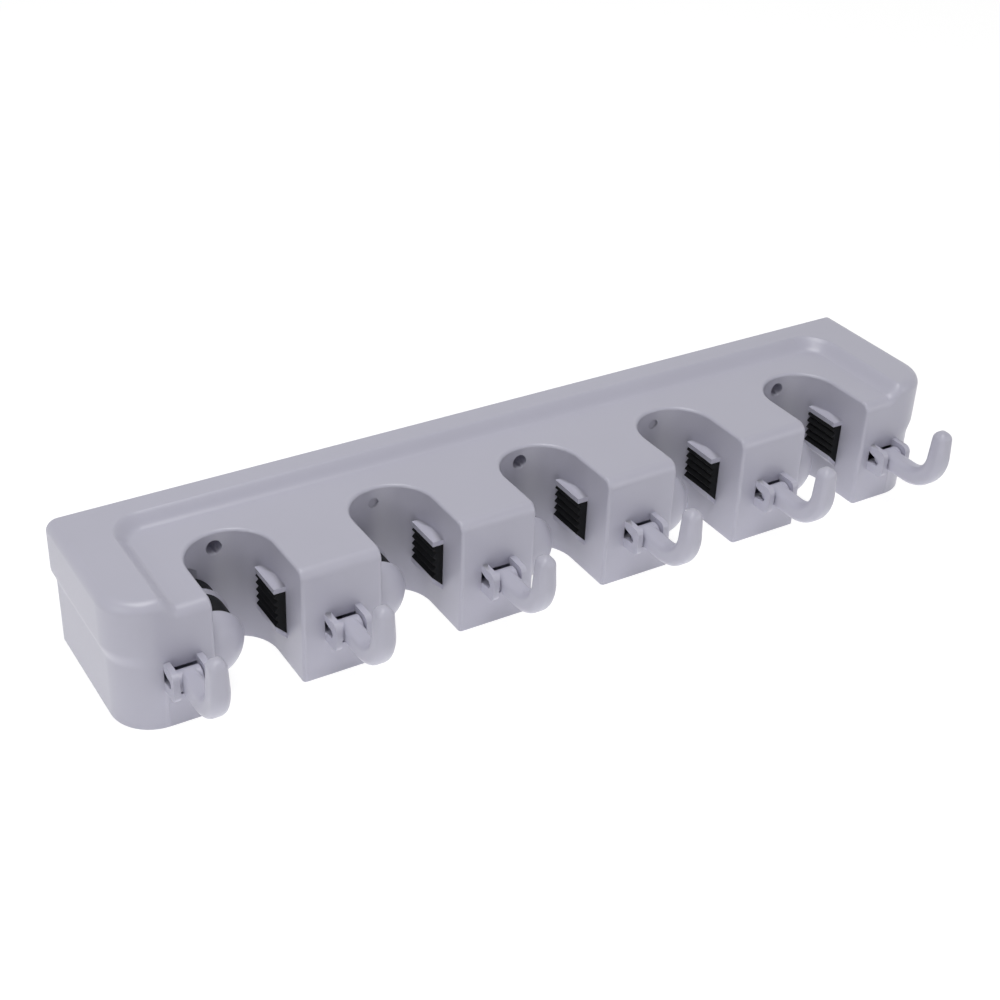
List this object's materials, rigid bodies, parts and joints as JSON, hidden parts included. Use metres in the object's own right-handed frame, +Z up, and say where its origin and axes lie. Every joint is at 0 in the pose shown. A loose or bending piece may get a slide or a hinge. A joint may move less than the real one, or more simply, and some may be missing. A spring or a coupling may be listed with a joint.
{
  "type": "wall mop holder rack",
  "caption": "Long grey moulded wall rack with U-shaped tool slots gripped by rollers and ribbed rubber pads, and hooks in front that fold up.",
  "frame": {"origin": "centre screw hole, where its axis meets the wall plane", "axes": "+X along the wall to the right as seen from the front, +Y into the wall, +Z up"},
  "size_m": [0.41, 0.1135, 0.0594],
  "materials": {
    "grey_plastic": "moulded polypropylene, satin",
    "hook_plastic": "moulded polypropylene, satin",
    "roller_plastic": "moulded polypropylene, satin",
    "inner_plastic": "moulded polypropylene, matt",
    "pad_rubber": "moulded rubber",
    "band_rubber": "moulded rubber",
    "steel": "zinc-plated"
  },
  "bodies": {
    "frame": {"housing": "grey_plastic", "guide_plate": "inner_plastic", "back_plate": "inner_plastic", "back_plate_screws": "steel", "grip_pad_1": "pad_rubber", "grip_pad_2": "pad_rubber", "grip_pad_3": "pad_rubber", "grip_pad_4": "pad_rubber", "grip_pad_5": "pad_rubber"},
    "carriage_1": {"roller_axle_1": "steel", "axle_clip_1": "steel"},
    "roller_1": {"roller_core_1": "roller_plastic", "roller_cap_1": "roller_plastic", "band_front_1": "band_rubber", "band_rear_1": "band_rubber"},
    "carriage_2": {"roller_axle_2": "steel", "axle_clip_2": "steel"},
    "roller_2": {"roller_core_2": "roller_plastic", "roller_cap_2": "roller_plastic", "band_front_2": "band_rubber", "band_rear_2": "band_rubber"},
    "carriage_3": {"roller_axle_3": "steel", "axle_clip_3": "steel"},
    "roller_3": {"roller_core_3": "roller_plastic", "roller_cap_3": "roller_plastic", "band_front_3": "band_rubber", "band_rear_3": "band_rubber"},
    "carriage_4": {"roller_axle_4": "steel", "axle_clip_4": "steel"},
    "roller_4": {"roller_core_4": "roller_plastic", "roller_cap_4": "roller_plastic", "band_front_4": "band_rubber", "band_rear_4": "band_rubber"},
    "carriage_5": {"roller_axle_5": "steel", "axle_clip_5": "steel"},
    "roller_5": {"roller_core_5": "roller_plastic", "roller_cap_5": "roller_plastic", "band_front_5": "band_rubber", "band_rear_5": "band_rubber"},
    "folding_hook_1": {"hook_1": "hook_plastic"},
    "folding_hook_2": {"hook_2": "hook_plastic"},
    "folding_hook_3": {"hook_3": "hook_plastic"},
    "folding_hook_4": {"hook_4": "hook_plastic"},
    "folding_hook_5": {"hook_5": "hook_plastic"},
    "folding_hook_6": {"hook_6": "hook_plastic"}
  },
  "joints": [
    {"name": "axle_slide_1", "type": "slide", "parent": "frame", "child": "carriage_1", "axis": [-0.7071, 0, 0.7071], "range_m": [0, 0.016]},
    {"name": "roller_spin_1", "type": "hinge", "parent": "carriage_1", "child": "roller_1", "pos_m": [-0.1626, -0.05, -0.023], "axis": [0, 1, 0], "continuous": true},
    {"name": "axle_slide_2", "type": "slide", "parent": "frame", "child": "carriage_2", "axis": [-0.7071, 0, 0.7071], "range_m": [0, 0.016]},
    {"name": "roller_spin_2", "type": "hinge", "parent": "carriage_2", "child": "roller_2", "pos_m": [-0.0896, -0.05, -0.023], "axis": [0, 1, 0], "continuous": true},
    {"name": "axle_slide_3", "type": "slide", "parent": "frame", "child": "carriage_3", "axis": [-0.7071, 0, 0.7071], "range_m": [0, 0.016]},
    {"name": "roller_spin_3", "type": "hinge", "parent": "carriage_3", "child": "roller_3", "pos_m": [-0.0166, -0.05, -0.023], "axis": [0, 1, 0], "continuous": true},
    {"name": "axle_slide_4", "type": "slide", "parent": "frame", "child": "carriage_4", "axis": [-0.7071, 0, 0.7071], "range_m": [0, 0.016]},
    {"name": "roller_spin_4", "type": "hinge", "parent": "carriage_4", "child": "roller_4", "pos_m": [0.0564, -0.05, -0.023], "axis": [0, 1, 0], "continuous": true},
    {"name": "axle_slide_5", "type": "slide", "parent": "frame", "child": "carriage_5", "axis": [-0.7071, 0, 0.7071], "range_m": [0, 0.016]},
    {"name": "roller_spin_5", "type": "hinge", "parent": "carriage_5", "child": "roller_5", "pos_m": [0.1294, -0.05, -0.023], "axis": [0, 1, 0], "continuous": true},
    {"name": "hook_fold_1", "type": "hinge", "parent": "frame", "child": "folding_hook_1", "pos_m": [-0.178, -0.0788, -0.0212], "axis": [-1, 0, 0], "range_deg": [0, 66]},
    {"name": "hook_fold_2", "type": "hinge", "parent": "frame", "child": "folding_hook_2", "pos_m": [-0.1095, -0.0788, -0.0212], "axis": [-1, 0, 0], "range_deg": [0, 66]},
    {"name": "hook_fold_3", "type": "hinge", "parent": "frame", "child": "folding_hook_3", "pos_m": [-0.0365, -0.0788, -0.0212], "axis": [-1, 0, 0], "range_deg": [0, 66]},
    {"name": "hook_fold_4", "type": "hinge", "parent": "frame", "child": "folding_hook_4", "pos_m": [0.0365, -0.0788, -0.0212], "axis": [-1, 0, 0], "range_deg": [0, 66]},
    {"name": "hook_fold_5", "type": "hinge", "parent": "frame", "child": "folding_hook_5", "pos_m": [0.1095, -0.0788, -0.0212], "axis": [-1, 0, 0], "range_deg": [0, 66]},
    {"name": "hook_fold_6", "type": "hinge", "parent": "frame", "child": "folding_hook_6", "pos_m": [0.178, -0.0788, -0.0212], "axis": [-1, 0, 0], "range_deg": [0, 66]}
  ]
}
